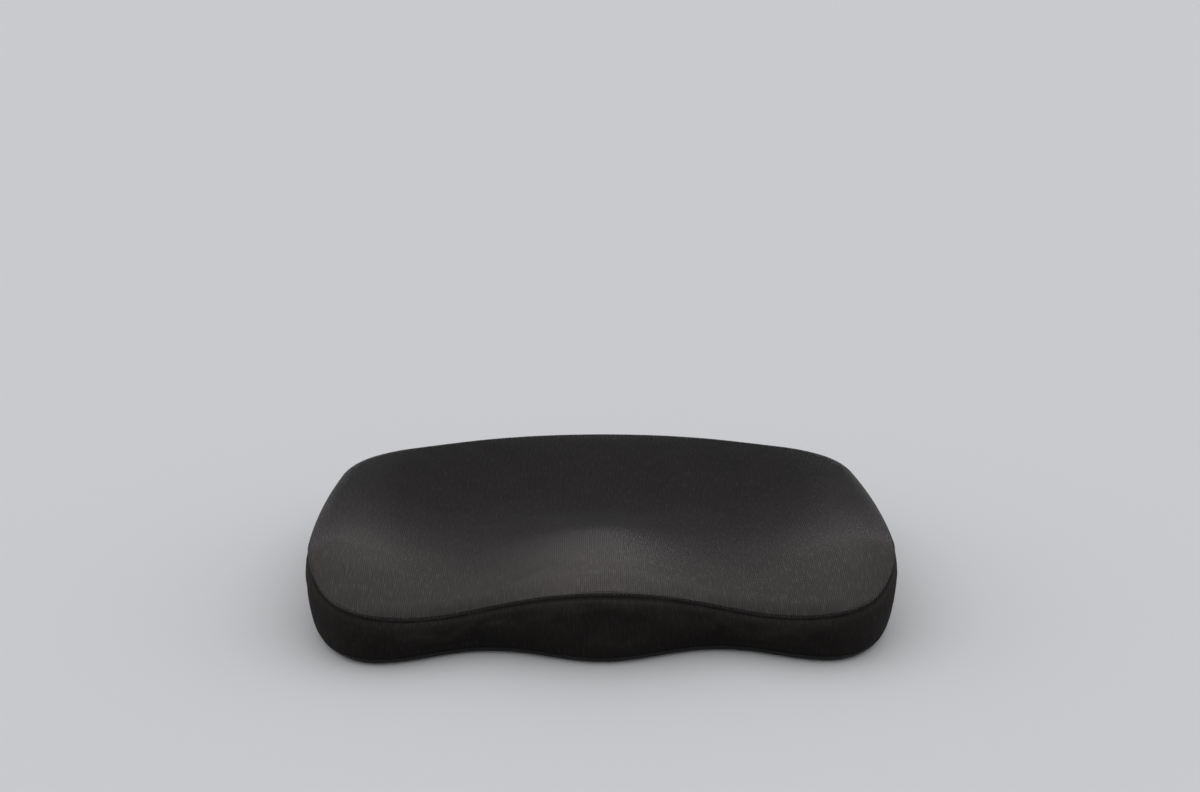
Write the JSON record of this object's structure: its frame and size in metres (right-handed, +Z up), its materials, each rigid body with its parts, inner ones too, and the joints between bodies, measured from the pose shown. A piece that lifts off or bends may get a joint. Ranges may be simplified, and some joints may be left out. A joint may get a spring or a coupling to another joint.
{
  "type": "seat cushion",
  "caption": "Contoured foam seat cushion with a front pommel, thigh channels, raised sides and a zipped, removable fabric cover.",
  "frame": {"origin": "bottom centre of the bounding box, on the surface the cushion rests on", "axes": "+X to the sitter's left-right width, +Y from the front edge towards the zipped rear edge, +Z up"},
  "size_m": [0.46, 0.386, 0.0699],
  "materials": {
    "seat_knit": "charcoal velvety rib knit",
    "gusset_knit": "black plain knit",
    "grip_fabric": "black woven fabric with rubbery dots",
    "thread": "black polyester thread",
    "zip_tape": "black woven tape",
    "zip_nylon": "black nylon coil",
    "zip_metal": "black painted zinc",
    "label_satin": "off-white satin ribbon, blank",
    "liner_knit": "thin off-white knit",
    "memory_foam": "cream open-cell polyurethane foam"
  },
  "bodies": {
    "cushion": {"foam_core": "memory_foam", "liner_top": "liner_knit", "liner_base": "liner_knit", "liner_seam_thread": "liner_knit", "top_panel": "seat_knit", "side_gusset": "gusset_knit", "rear_gusset_upper": "gusset_knit", "rear_gusset_lower": "gusset_knit", "bottom_panel": "grip_fabric", "top_seam_thread": "thread", "bottom_seam_thread": "thread", "rear_join_thread_left": "thread", "rear_join_thread_right": "thread", "zip_tape_upper": "zip_tape", "zip_tape_lower": "zip_tape", "zip_coil_upper": "zip_nylon", "zip_coil_lower": "zip_nylon", "zip_top_stop_upper": "zip_metal", "zip_top_stop_lower": "zip_metal", "zip_bottom_stop": "zip_metal", "care_label": "label_satin"},
    "zip_slider": {"zip_slider": "zip_metal"},
    "zip_pull": {"zip_pull": "zip_metal"}
  },
  "joints": [
    {"name": "zip_travel", "type": "hinge", "parent": "cushion", "child": "zip_slider", "pos_m": [0, -0.207, 0.033], "axis": [0, 0, 1], "range_deg": [0, 36.6]},
    {"name": "pull_swing", "type": "hinge", "parent": "zip_slider", "child": "zip_pull", "pos_m": [0.12638, 0.17514, 0.033], "axis": [0, 0, -1], "range_deg": [0, 176]}
  ]
}
